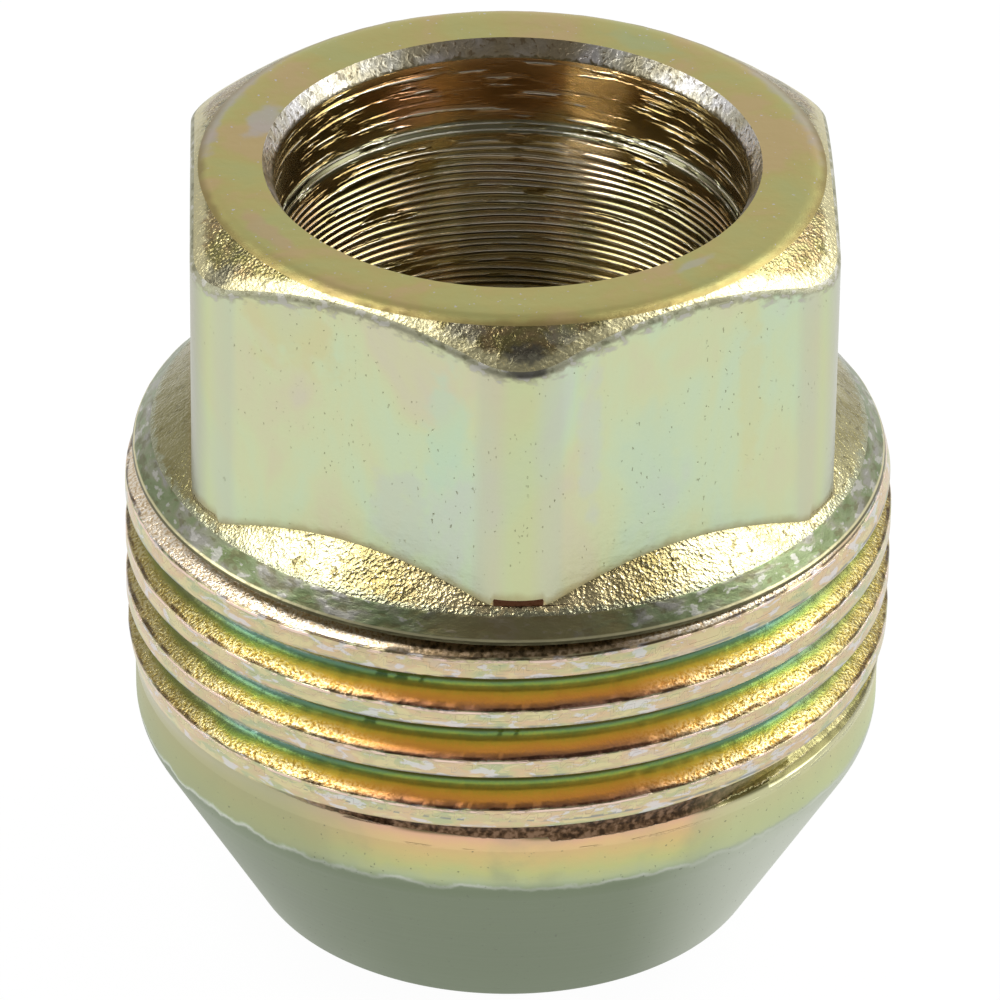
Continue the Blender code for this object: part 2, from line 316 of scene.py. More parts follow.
def cap_thread(sheet, low_z, high_z):
    """The outer thread as a strip that climbs the helix, one pitch wide.

    Column i lies at a continuous helix angle, and row j at a set offset from the groove's
    middle. The top row of a column is the bottom row of the column one turn later. Heights
    are held between the strip's two ends, so the strip is cut square at both.
    """
    below = [-row for row in reversed(THREAD_ROWS)]
    offsets = np.array([-PITCH / 2] + below + [0.0] + THREAD_ROWS)
    rise = PITCH / TURN
    step = TURN / AROUND
    first = math.floor((RUN_OUT_START + (low_z - PITCH / 2 - RUN_OUT_Z) / rise) / step)
    last = math.ceil((RUN_OUT_START + (high_z + PITCH / 2 - RUN_OUT_Z) / rise) / step)
    column = np.arange(first, last + AROUND + 1)[:, None]
    middle = RUN_OUT_Z + (column * step - RUN_OUT_START) * rise
    z = np.clip(middle + offsets, low_z, high_z)
    r, marks = thread_surface(column, z)
    grid = sheet.add(r, ANGLES[column % AROUND], z, **marks)
    strip = np.concatenate([grid[:-AROUND], grid[AROUND:, :1]], axis=1)
    sheet.quads(strip[:-1, :-1], strip[1:, :-1], strip[1:, 1:], strip[:-1, 1:], THREAD)


def stud_thread(sheet, low_z, high_z):
    """The tapped bore as a helical strip, cut back to the tap chamfer and the drill point."""
    offsets = np.array([-STUD_PITCH / 2, -STUD_FLANK_END, -STUD_ROOT_HALF, STUD_ROOT_HALF,
                        STUD_FLANK_END])
    rise = STUD_PITCH / TURN
    step = TURN / AROUND_BORE
    first = math.floor((low_z - STUD_PITCH / 2) / rise / step)
    last = math.ceil((high_z + STUD_PITCH / 2) / rise / step)
    column = np.arange(first, last + AROUND_BORE + 1)[:, None]
    middle = column * step * rise
    z = np.clip(middle + offsets, low_z, high_z)
    off = np.abs(np.mod(z - middle + STUD_PITCH / 2, STUD_PITCH) - STUD_PITCH / 2)
    r = STUD_MAJOR_R - np.clip(off - STUD_ROOT_HALF, 0.0, None) / math.tan(FLANK)
    r = np.maximum(r, STUD_MINOR_R)
    r = np.maximum(r, TAP_CHAMFER_R - z)
    floor_foot = BORE_FOOT - (BORE_R - STUD_MINOR_R) / math.tan(DRILL_POINT)
    r = np.maximum(r, STUD_MINOR_R + (z - floor_foot) * math.tan(DRILL_POINT))
    grid = sheet.add(r, ANGLES[2 * (column % AROUND_BORE)], z)
    strip = np.concatenate([grid[:-AROUND_BORE], grid[AROUND_BORE:, :1]], axis=1)
    sheet.quads(strip[:-1, :-1], strip[:-1, 1:], strip[1:, 1:], strip[1:, :-1], STUD)


def seat_and_barrel(sheet):
    """The small end's face, its rounded edge, the conical seat and the plain barrel: rings of
    a profile of straight lines and arcs, up to the foot of the thread's strip."""
    edge_turn = math.pi / 2 - SEAT_ANGLE
    edge_reach = SEAT_EDGE * math.tan(edge_turn / 2)
    inner = sheet.ring(TAP_CHAMFER_R, 0.0, AROUND_BORE)
    last = sheet.ring(END_RING_R, 0.0)
    sheet.halve(last, inner, SEAT, True)
    last = sheet.rings(last, line((END_RING_R, 0.0), (SEAT_END_R - edge_reach, 0.0), 2), SEAT)
    edge = arc((SEAT_END_R - edge_reach, SEAT_EDGE), SEAT_EDGE, -math.pi / 2, -SEAT_ANGLE, 6)
    last = sheet.rings(last, edge[1:], SEAT)
    seat_height = (BARREL_R - SEAT_END_R) / math.tan(SEAT_ANGLE)
    blend_reach = SEAT_BLEND * math.tan(SEAT_ANGLE / 2)
    blend = arc((BARREL_R - SEAT_BLEND, seat_height + blend_reach), SEAT_BLEND, -SEAT_ANGLE, 0, 6)
    last = sheet.rings(last, line(edge[-1], blend[0], 5), SEAT)
    last = sheet.rings(last, blend[1:], SEAT)
    sheet.rings(last, line(blend[-1], (BARREL_R, STRIP_FOOT_Z), 3), SEAT)


def lead_chamfer(sheet):
    """The level ledge that the groove ends under, its narrow lip, and the turned chamfer."""
    groove_r, marks = thread_surface(np.arange(AROUND), np.full(AROUND, LIP_Z))
    last = sheet.ring(groove_r, LIP_Z, **marks)
    wear = 0.03 * (cloud(np.stack([ANGLES * 13, ANGLES * 0, ANGLES * 0], axis=-1), 0.6, 9) - 0.5)
    points = [(turned_radius(LIP_Z), LIP_Z)]
    for land in (0.35, 1.0):
        z = LIP_Z + (LEAD_CHAMFER_Z - LIP_Z) * land
        points.append((turned_radius(z), z + wear * (land == 1.0)))
    for up in (0.12, 0.5, 0.88, 1.0):
        r = LEAD_CHAMFER_R + (SHOULDER_R - LEAD_CHAMFER_R) * up
        points.append((r, LEAD_CHAMFER_Z + (SHOULDER_Z - LEAD_CHAMFER_Z) * up))
    return sheet.rings(last, points, LEAD)


def lumps(r, z, size, height, seed):
    """Low bumps of a rough skin: value noise at each point, in millimetres, centred on 0."""
    p = np.stack([r * np.sin(ANGLES), -r * np.cos(ANGLES), z + 0 * ANGLES], axis=-1)
    return height * (cloud(p, size, seed) + 0.6 * cloud(p, 0.5 * size, seed + 1) - 0.8)


def hexagon_edges(angle):
    """The hexagon's radius and the heights of its flat's foot and top, at each angle.

    The foot is where the shoulder's cone reaches the hexagon, and the top lies the edge
    rounding's reach below the end chamfer's cone.
    """
    reach = hexagon_radius(angle)
    join_z = SHOULDER_Z + (SHOULDER_R - reach) * math.tan(SHOULDER_ANGLE)
    foot_z = np.where(reach > TIP_R, TIP_Z, join_z)
    edge_z = HEIGHT - (reach - END_FACE_R) * math.tan(END_CHAMFER_ANGLE)
    top_z = edge_z - EDGE_RADIUS * math.tan((math.pi / 2 - END_CHAMFER_ANGLE) / 2)
    return reach, foot_z, top_z


def edge_marks(points):
    """Signed distances in mm from the hexagon's edges, and the angle from its corners.

    foot is up the flat from its foot, or minus the distance down the shoulder. brow is how
    far past the flat's top, and negative below it. crown is how far outside the end face's
    rounding. corner is the angle from the nearest corner, over half a corner's arc, and
    apart is its size.
    """
    r = np.hypot(points[:, 0], points[:, 1])
    z = points[:, 2]
    angle = np.arctan2(points[:, 0], -points[:, 1])
    reach, foot_z, top_z = hexagon_edges(angle)
    foot = np.where(z >= foot_z, z - foot_z, -np.hypot(z - foot_z, r - reach))
    brow = np.where(z <= top_z, z - top_z, np.hypot(z - top_z, reach - r))
    corner = (np.mod(angle + TURN / 12, TURN / 6) - TURN / 12) / CORNER_HALF_ARC
    return dict(zip(EDGES, (foot, brow, r - END_FACE_R, corner, np.abs(corner))))


def shoulder(sheet, last):
    """The sloping shoulder, a cone up to the hexagon, with the corners' tips turned off.

    A tip lies where the hexagon reaches past the turned radius: there the skin goes straight
    up to the tip's own height, and out below it.
    """
    reach, foot_z, _ = hexagon_edges(ANGLES)
    inner = np.minimum(reach, TIP_R)
    join_z = SHOULDER_Z + (SHOULDER_R - inner) * math.tan(SHOULDER_ANGLE)
    points = []
    for t in np.linspace(0, 1, 10)[1:]:
        r = SHOULDER_R + (inner - SHOULDER_R) * t
        z = SHOULDER_Z + (join_z - SHOULDER_Z) * t
        push = lumps(r, z, 0.45, 0.03, 11) * (t < 1)
        points.append((r + 0.6 * push, z + 0.8 * push))
    points += [(inner, (join_z + foot_z) / 2), (inner, foot_z), (reach, foot_z)]
    return sheet.rings(last, points, SHOULDER)


def head(sheet, last):
    """The hexagon's flats, the conical end chamfer, and the end face.

    The chamfer's edges with the flats and with the end face are arcs, and it bulges between
    them by a shallow parabola, as the cutter left it.
    """
    reach, foot_z, flat_top = hexagon_edges(ANGLES)
    turn = math.pi / 2 - END_CHAMFER_ANGLE
    up = (0.02, 0.06, 0.15, 0.4, 0.7, 0.95, 1.0)
    points = [(reach, foot_z + (flat_top - foot_z) * t) for t in up]
    for a in np.linspace(0, turn, 5)[1:]:
        r = reach - EDGE_RADIUS * (1 - math.cos(a))
        z = flat_top + EDGE_RADIUS * math.sin(a)
        points.append((r, z))
    last = sheet.rings(last, points, FLAT)
    face_reach = END_FACE_ROUNDING * math.tan(END_CHAMFER_ANGLE / 2)
    rounding = arc((END_FACE_R - face_reach, HEIGHT - END_FACE_ROUNDING), END_FACE_ROUNDING,
                   turn, math.pi / 2, 4)
    start_r, start_z = rounding[0]
    slope = (r - start_r) / math.cos(END_CHAMFER_ANGLE)
    points = []
    for t in np.linspace(0, 1, 9)[1:]:
        along_r = r + (start_r - r) * t
        along_z = z + (start_z - z) * t
        push = lumps(along_r, along_z, 0.5, 0.025, 21) * (t < 1) + 0.1 * slope * t * (1 - t)
        points.append((along_r + 0.57 * push, along_z + 0.82 * push))
    last = sheet.rings(last, points, CHAMFER)
    last = sheet.rings(last, rounding[1:], END)
    return sheet.rings(last, line(rounding[-1], (MOUTH_RIM_R, HEIGHT), 3), END)


def counterbore(sheet, last):
    """Down the mouth's chamfer, the stepped wall and the drill-point floor."""
    last = sheet.rings(last, line((MOUTH_RIM_R, HEIGHT), (MOUTH_R, MOUTH_Z), 4), MOUTH)
    last = sheet.rings(last, line((MOUTH_R, MOUTH_Z), (MOUTH_R, STEP_TOP), 3), BORE)
    last = sheet.rings(last, line((MOUTH_R, STEP_TOP), (BORE_R, STEP_FOOT), 2), BORE)
    last = sheet.rings(last, line((BORE_R, STEP_FOOT), (BORE_R, BORE_FOOT), 6), BORE)
    drop = math.tan(math.pi / 2 - DRILL_POINT)
    floor_foot = BORE_FOOT - (BORE_R - STUD_MINOR_R) * drop
    floor_r = STUD_MINOR_R + (FLOOR_RING_Z - floor_foot) / drop
    last = sheet.rings(last, line((BORE_R, BORE_FOOT), (floor_r, FLOOR_RING_Z), 2), BORE)
    start_r = STUD_MINOR_R + (TAP_START_Z - floor_foot) / drop
    tap_ring = sheet.ring(start_r, TAP_START_Z, AROUND_BORE)
    sheet.halve(last, tap_ring, STUD, False)


def nut_sheet():
    """The whole surface, from the small end's face up the outside and down the bore."""
    sheet = Sheet()
    seat_and_barrel(sheet)
    cap_thread(sheet, STRIP_FOOT_Z, LIP_Z)
    last = shoulder(sheet, lead_chamfer(sheet))
    counterbore(sheet, head(sheet, last))
    stud_thread(sheet, 0.0, TAP_START_Z)
    return sheet


def weld(sheet):
    """Merge points at the same place, and drop the triangles that this flattens."""
    points = np.concatenate(sheet.points)
    faces = np.concatenate(sheet.faces)
    finishes = np.concatenate(sheet.finishes)
    keys = np.round(points * 1e5).astype(np.int64)
    _, first, number = np.unique(keys, axis=0, return_index=True, return_inverse=True)
    faces = number.reshape(-1)[faces]
    whole = np.all(faces != np.roll(faces, -1, axis=1), axis=1)
    faces = faces[whole]
    finishes = finishes[whole]
    used, renumbered = np.unique(faces, return_inverse=True)
    marks = {name: np.concatenate(parts)[first][used] for name, parts in sheet.marks.items()}
    return points[first][used], renumbered.reshape(-1, 3), finishes, marks


def make_mesh(name, points, faces, finishes, marks, materials):
    """A mesh in metres from arrays, smooth except along edges sharper than 38 degrees."""
    mesh = bpy.data.meshes.new(name)
    mesh.vertices.add(len(points))
    mesh.vertices.foreach_set("co", (points * MM).astype(np.float32).ravel())
    mesh.loops.add(faces.size)
    mesh.loops.foreach_set("vertex_index", faces.astype(np.int32).ravel())
    mesh.polygons.add(len(faces))
    mesh.polygons.foreach_set("loop_start", np.arange(0, faces.size, 3, dtype=np.int32))
    mesh.polygons.foreach_set("loop_total", np.full(len(faces), 3, dtype=np.int32))
    mesh.polygons.foreach_set("material_index", finishes.astype(np.int32))
    for material in materials:
        mesh.materials.append(material)
    mesh.update(calc_edges=True)
    for mark, values in marks.items():
        layer = mesh.attributes.new(mark, "FLOAT", "POINT")
        layer.data.foreach_set("value", values.astype(np.float32))
    mesh.shade_smooth()
    mesh.set_sharp_from_angle(angle=math.radians(38))
    return mesh


SMOOTH = {"interpolation_type": "SMOOTHSTEP"}
PAINT = {"data_type": "RGBA"}
TIMES = {"operation": "MULTIPLY"}
TIMES_PLUS = {"operation": "MULTIPLY_ADD"}


def linear(hex_colour):
    """An sRGB hex colour as linear red, green, blue and a full alpha."""
    parts = [int(hex_colour[i : i + 2], 16) / 255 for i in (0, 2, 4)]
    return [c / 12.92 if c <= 0.04045 else ((c + 0.055) / 1.055) ** 2.4 for c in parts] + [1.0]


def node(tree, kind, inputs=(), stops=(), **settings):
    """Add a shader node, set its properties and its ramp's stops, and fill its inputs.

    An input is a value, an sRGB hex colour, a socket, or a node, which gives its first
    output in use.
    """
    made = tree.nodes.new("ShaderNode" + kind)
    for name, value in settings.items():
        setattr(made, name, value)
    for number, (position, colour) in enumerate(stops):
        ramp = made.color_ramp.elements
        stop = ramp[number] if number < 2 else ramp.new(position)
        stop.position = position
        stop.color = linear(colour)
    for key, value in dict(inputs).items():
        socket = made.inputs[key]
        if isinstance(value, str):
            value = linear(value)
        if isinstance(value, bpy.types.Node):
            value = next(out for out in value.outputs if out.enabled)
        if isinstance(value, bpy.types.NodeSocket):
            tree.links.new(value, socket)
        else:
            socket.default_value = value
    return made


def metal(name, roughness):
    """A bare metal's material; returns it, a call that adds a node to it, and its measures.

    The measures are the place in mm and the same unrolled: the angle in degrees round from -Y
    towards +X, the radius and the height in mm. turned is the angle's size, and the marks
    that the mesh's points carry are there by their names.
    """
    material = bpy.data.materials.new(name + "_yellow_chromate")
    material.use_nodes = True
    shader = material.node_tree.nodes["Principled BSDF"]
    shader.inputs["Metallic"].default_value = 1.0
    shader.inputs["Roughness"].default_value = roughness
    add = partial(node, material.node_tree)
    place = add("TexCoord").outputs["Object"]
    place = add("Mapping", {"Vector": place, "Scale": (1000, 1000, 1000)})
    x, y, z = add("SeparateXYZ", {0: place}).outputs
    back = add("Math", {0: y, 1: -1.0}, **TIMES)
    angle = add("Math", {0: x, 1: back}, operation="ARCTAN2")
    angle = add("Math", {0: angle}, operation="DEGREES")
    turned = add("Math", {0: angle}, operation="ABSOLUTE")
    flat = add("CombineXYZ", {0: x, 1: y})
    radius = add("VectorMath", {0: flat}, operation="LENGTH").outputs["Value"]
    unrolled = add("CombineXYZ", {0: angle, 1: radius, 2: z})
    marks = {name: add("Attribute", attribute_name=name).outputs["Fac"] for name in MARKS + EDGES}
    return material, add, SimpleNamespace(
        place=place, x=x, unrolled=unrolled, angle=angle, turned=turned, radius=radius, z=z,
        **marks)


def within(add, share, *limits):
    """A share kept to its limits: each is a measure, where it begins and where it is full."""
    for measure, start, full in limits:
        share = add("MapRange", {0: measure, 1: start, 2: full, 4: share}, **SMOOTH)
    return share


def coats(add, colour, layers):
    """Lay tints over a colour in turn: each is a tint, its greatest share and its limits."""
    for tint, share, *limits in layers:
        share = within(add, share, *limits)
        colour = add("Mix", {0: share, 6: colour, 7: tint}, **PAINT)
    return colour


def blots(add, colour, where, edge, patches):
    """Patches of tint laid on a colour, each with a centre, a reach and its greatest share.

    A patch is full in its middle and none from its reach, and its edge is ragged by a noise.
    """
    for centre, reach, tint, most in patches:
        off = add("VectorMath", {0: where, 1: centre}, operation="SUBTRACT")
        off = add("VectorMath", {0: off, 1: reach}, operation="DIVIDE")
        far = add("VectorMath", {0: off}, operation="LENGTH").outputs["Value"]
        far = add("Math", {0: edge, 1: 1.6, 2: far}, **TIMES_PLUS)
        colour = coats(add, colour, [(tint, most, (far, 1.8, 1.2))])
    return colour


def dress(material, add, bumps, colour, roughness=None):
    """Give the shader its relief and colour, and its roughness where that varies.

    The bumps lie one on the other: each is a height from 0 to 1 and its depth in mm. Returns
    the material.
    """
    shader = material.node_tree.nodes["Principled BSDF"]
    last = None
    for height, depth in bumps:
        inputs = {"Height": height, "Distance": depth * MM}
        if last:
            inputs["Normal"] = last
        last = add("Bump", inputs)
    given = {"Normal": last, "Base Color": colour, "Roughness": roughness}
    for name, source in given.items():
        if source:
            out = next(out for out in source.outputs if out.enabled)
            material.node_tree.links.new(out, shader.inputs[name])
    return material


def drawn_flats():
    """Yellow chromate on zinc plate on cold-drawn bar: satin, in pale clouds of mint, yellow
    green, ochre and lilac, with fine dark pits drawn out along the bar. The rounded corners
    took a lilac tone, with bands of painted reflection across them, and the top edge is
    scuffed to the pale zinc. Painted shade lies in the crease at the flats' foot, on the side
    faces seen edge on, and on the front corner's top.
    """
    material, add, at = metal("drawn_flats", 0.36)
    drawn = add("Mapping", {"Vector": at.place, "Scale": (1, 1, 0.6)})
    clouds = add("TexNoise", {"Vector": drawn, "Scale": 1 / 4.0, "Detail": 4.0,
                              "Distortion": 0.5})
    clouds = add("Math", {0: clouds, 1: within(add, 0.05, (at.x, 2.0, -9.0))})
    streaks = add("Mapping", {"Vector": at.place, "Scale": (1, 1, 0.2)})
    streaks = add("TexNoise", {"Vector": streaks, "Scale": 1 / 0.7, "Detail": 4.0})
    tone = add("Math", {0: streaks, 1: 0.12, 2: clouds}, **TIMES_PLUS)
    colour = add("ValToRGB", {0: tone}, stops=[
        (0.42, "C6D0BC"), (0.50, "C6D6B6"), (0.57, "C9D6B0"), (0.64, "CDD4AA"), (0.72, "CFCEAA"),
        (0.80, "CECAB0")])
    edge = add("TexNoise", {"Vector": at.place, "Scale": 1 / 0.8, "Detail": 4.0})
    colour = blots(add, colour, at.unrolled, edge, [
        ((-42, 0, 27.0), (12, 99, 2.0), "CFC794", 0.5),
        ((-21, 0, 20.5), (8, 99, 2.4), "C2C8BE", 0.5),
        ((-12, 0, 24.5), (5, 99, 3.0), "BCD6BC", 0.5),
        ((44, 0, 24.5), (3.2, 99, 4.5), "CFCF9E", 0.5),
        ((24, 0, 22.0), (8, 99, 3.5), "BFD2B8", 0.4),
        ((12, 0, 24.0), (3, 99, 4.0), "C4CAC6", 0.4),
    ])
    # Across each rounded corner, bands of lilac, yellow green and bluish grey: painted reflection
    strip = add("ValToRGB", {0: add("MapRange", {0: at.corner, 1: -1.2, 2: 1.2})}, stops=[
        (0.10, "C4C4AC"), (0.27, "C8C2A8"), (0.40, "C6CC9C"), (0.60, "C6CD9A"), (0.74, "C4C8AC"),
        (0.92, "C2C8B2")])
    apart = add("Math", {0: streaks, 1: 0.3, 2: at.apart}, **TIMES_PLUS)
    pits = add("TexNoise", {"Vector": drawn, "Scale": 1 / 0.11, "Detail": 1.0})
    grouped = add("TexNoise", {"Vector": at.place, "Scale": 1 / 2.5, "Detail": 2.0})
    pits = within(add, 0.6, (grouped, 0.42, 0.62), (pits, 0.71, 0.77))
    foot = add("Math", {0: edge, 1: 0.5, 2: at.foot}, **TIMES_PLUS)
    chipped = add("Mapping", {"Vector": at.place, "Scale": (1, 1, 1.6)})
    chipped = add("TexNoise", {"Vector": chipped, "Scale": 1 / 0.45, "Detail": 5.0})
    top = add("Math", {0: chipped, 1: 1.4, 2: at.brow}, **TIMES_PLUS)
    colour = coats(add, colour, [
        (strip, 0.6, (apart, 1.30, 1.0)),
        # Painted shade: the side faces seen edge on at the outline, greyer, darker on the left
        ("A6A69A", 0.7, (at.x, -10.3, -10.95)),
        ("B8B6AE", 0.6, (at.x, 10.3, 10.95)),
        ("7C7A5A", pits),
        # Painted shade: tan in the crease at the flats' foot, above the shoulder
        ("A3966A", 0.65, (foot, 0.65, 0.22)),
        ("A6A48C", 0.9, (top, 0.50, 0.85)),
        ("D0CECA", 0.54, (top, 0.50, 0.85), (chipped, 0.54, 0.60)),
        ("7E7A60", 0.7, (at.brow, 0.0, 0.15), (chipped, 0.46, 0.38)),
    ])
    # Painted shade: a dark grey patch on the front corner's top, where it faces the camera
    front_corner_shade = [((1, 0, 27.5), (4.5, 99, 0.4), "5A5852", 0.9)]
    front_corner_shaded = blots(add, colour, at.unrolled, edge, front_corner_shade)
    colour = coats(add, colour, [(front_corner_shaded, 1.0, (at.brow, 0.0, 0.15))])
    rougher = add("MapRange", {0: top, 1: 0.5, 2: 0.9, 3: 0.36, 4: 0.58})
    bumps = [(pits, -0.03), (streaks, 0.014), (chipped, 0.02)]
    return dress(material, add, bumps, colour, rougher)


def rough_skin(add, place, tones):
    """Yellow chromate on zinc plate on a torn, tumbled surface: gold to olive, with a coarse
    grain whose facets catch the lamps as gold and white sparks, and dark pits between them.

    The real grain of about 0.05 mm is drawn at 0.1 mm and more, so that it shows.
    """
    tone = add("TexNoise", {"Vector": place, "Scale": 1 / 1.6, "Detail": 4.0, "Distortion": 0.3})
    grain = add("TexNoise", {"Vector": place, "Scale": 1 / 0.11, "Detail": 2.0})
    wrinkles = add("TexNoise", {"Vector": place, "Scale": 1 / 0.36, "Detail": 5.0,
                                "Distortion": 0.8})
    facets = add("TexVoronoi", {"Vector": place, "Scale": 7.5}).outputs["Distance"]
    colour = add("ValToRGB", {0: tone}, stops=tones)
    colour = coats(add, colour, [("5C5232", 0.8, (wrinkles, 0.42, 0.33))])
    return colour, grain, wrinkles, facets


def sheared_chamfer():
    """The head's end chamfer: rough skin, pale gold along its lower edge as a painted highlight,
    brown and olive above, with zinc-grey knocks at the corners and a dark patch of painted
    shade at the front corner."""
    material, add, at = metal("sheared_chamfer", 0.27)
    colour, grain, wrinkles, facets = rough_skin(add, at.place, [
        (0.36, "747044"), (0.47, "8A8054"), (0.55, "98845E"), (0.66, "9E9866")])
    low = add("Math", {0: wrinkles, 1: 0.9, 2: at.brow}, **TIMES_PLUS)
    # Painted highlight: the chamfer's lower edge laid pale gold, with less grain there
    bright = within(add, 1.0, (low, 1.45, 1.05))
    crown = add("Math", {0: wrinkles, 1: 0.3, 2: at.crown}, **TIMES_PLUS)
    colour = coats(add, colour, [
        ("C8C096", bright), ("6E6038", 0.85, (crown, 0.46, 0.26)),
        ("F0E2A8", 0.85, (grain, 0.60, 0.68))])
    # The dark patch at the front corner is painted shade; the others are knocks
    colour = blots(add, colour, at.unrolled, wrinkles, [
        ((1, 0, 27.75), (5.0, 99, 0.3), "66645C", 0.8),
        ((7, 0, 28.1), (4.0, 99, 0.3), "BAB6A8", 0.4),
        ((-10, 0, 28.2), (4.5, 99, 0.3), "B6B2A6", 0.4),
        ((-58, 0, 27.6), (3.5, 99, 0.7), "5E5C50", 0.8),
    ])
    coarse = add("MapRange", {0: bright, 3: 1.0, 4: 0.6})
    calm = add("MapRange", {0: at.turned, 1: 14.0, 2: 30.0, 3: 0.4, 4: 1.0}, **SMOOTH)
    coarse = add("Math", {0: coarse, 1: calm}, **TIMES)
    grain = add("Math", {0: grain, 1: coarse}, **TIMES)
    facets = add("Math", {0: facets, 1: coarse}, **TIMES)
    rougher = add("MapRange", {0: bright, 3: 0.25, 4: 0.33})
    bumps = [(wrinkles, 0.025), (grain, 0.022), (facets, 0.02)]
    return dress(material, add, bumps, colour, rougher)


def forged_shoulder():
    """The sloping shoulder below the hexagon: rough skin, pale gold, with painted shadow in dark
    brown under the corners' tips, stronger at the front, and painted shade in the crease along
    the hexagon's foot."""
    material, add, at = metal("forged_shoulder", 0.25)
    colour, grain, wrinkles, facets = rough_skin(add, at.place, [
        (0.36, "AEA474"), (0.46, "CEC698"), (0.56, "D6CE9E"), (0.66, "E0DAB2")])
    rim = add("Math", {0: wrinkles, 1: 0.8, 2: at.radius}, **TIMES_PLUS)
    near = add("MapRange", {0: at.turned, 1: 30.0, 2: 12.0, 3: 0.25, 4: 1.0}, **SMOOTH)
    colour = coats(add, colour, [
        ("9A8850", 0.8, (at.turned, 36.0, 22.0), (at.turned, 6.0, 18.0)),
        ("F8F2D4", 0.85, (grain, 0.60, 0.68)),
        ("FFE9B4", 0.8, (at.turned, 24.0, 4.0)),
        ("807A4E", 0.8, (at.angle, -52.0, -66.0)),
        ("847E52", 0.6, (at.angle, 55.0, 72.0)),
        # Painted shade in the crease along the hexagon's foot
        ("96895C", 0.6, (at.foot, -0.30, 0.0)),
        ("A2A58A", 0.75, (rim, 12.62, 12.78)),
        # Painted shadow: dark brown under the corners' tips, stronger towards the front
        ("4E3222", near, (at.foot, -0.42, -0.36), (at.radius, 12.14, 12.155), (at.z, 18.17, 18.2)),
    ])
    return dress(material, add, [(wrinkles, 0.028), (grain, 0.022), (facets, 0.015)], colour)


def turned_lead():
    """The lead chamfer and its lip: turned smooth, grey green with smeared lilac patches, browner
    towards the front as painted reflection, with a painted highlight along the lip and painted
    shadow under it.
    """
    material, add, at = metal("turned_lead", 0.34)
    smear = add("Mapping", {"Vector": at.place, "Scale": (0.5, 0.5, 1.2)})
    tone = add("TexNoise", {"Vector": smear, "Scale": 1 / 0.7, "Detail": 5.0, "Distortion": 0.5})
    colour = add("ValToRGB", {0: tone}, stops=[
        (0.36, "76825C"), (0.47, "84906C"), (0.55, "8E9276"), (0.63, "9A988E")])
    scuffs = add("Mapping", {"Vector": at.place, "Scale": (0.4, 0.4, 1.0)})
    scuffs = add("TexNoise", {"Vector": scuffs, "Scale": 1 / 0.25, "Detail": 5.0})
    front = add("Math", {0: tone, 1: 30.0, 2: at.turned}, **TIMES_PLUS)
    colour = coats(add, colour, [
        ("6E6A4C", 0.6, (scuffs, 0.46, 0.38)),
        ("C4C1BA", 0.7, (scuffs, 0.58, 0.64)),
        # Painted reflection: browner towards the front
        ("A8986C", 0.7, (front, 34.0, 22.0)),
        # Painted highlight along the lip, then painted shadow under it
        ("D8D0A4", 0.9, (at.z, 17.41, 17.37)),
        ("4A4630", 0.9, (at.z, 17.34, 17.30)),
    ])
    return dress(material, add, [(tone, 0.03), (scuffs, 0.03)], colour)


def chromate_band(add, at):
    """The film's colours by height below the thread, from pink and tan through yellow and
    green to a jagged pale line and the seat's grey green, greyer on the left side."""
    sway = add("TexNoise", {"Vector": at.place, "Scale": 1 / 1.3, "Detail": 6.0,
                            "Roughness": 0.6})
    height = add("Math", {0: sway, 1: 0.8, 2: at.z}, **TIMES_PLUS)
    height = add("MapRange", {0: height, 1: 4.40, 2: 10.40})
    band = add("ValToRGB", {0: height}, stops=[
        (0.0, "8E9782"), (0.30, "909A82"), (0.53, "939D86"), (0.548, "D6DACE"), (0.568, "B4C09C"),
        (0.66, "C6C88C"), (0.75, "D8C488"), (0.84, "E0BC8C"), (0.92, "DEAE96")])
    tone = add("TexNoise", {"Vector": at.place, "Scale": 1 / 3.5, "Detail": 4.0,
                            "Distortion": 0.4})
    aside = add("Math", {0: tone, 1: 4.0, 2: at.x}, **TIMES_PLUS)
    return coats(add, band, [
        ("8C9482", 0.35, (tone, 0.42, 0.62)),
        ("AAAE86", 0.85, (aside, -1.5, -6.5), (height, 0.56, 0.58)),
        ("C6CEA0", 0.7, (aside, 7.0, 11.0), (height, 0.56, 0.58)),
    ])


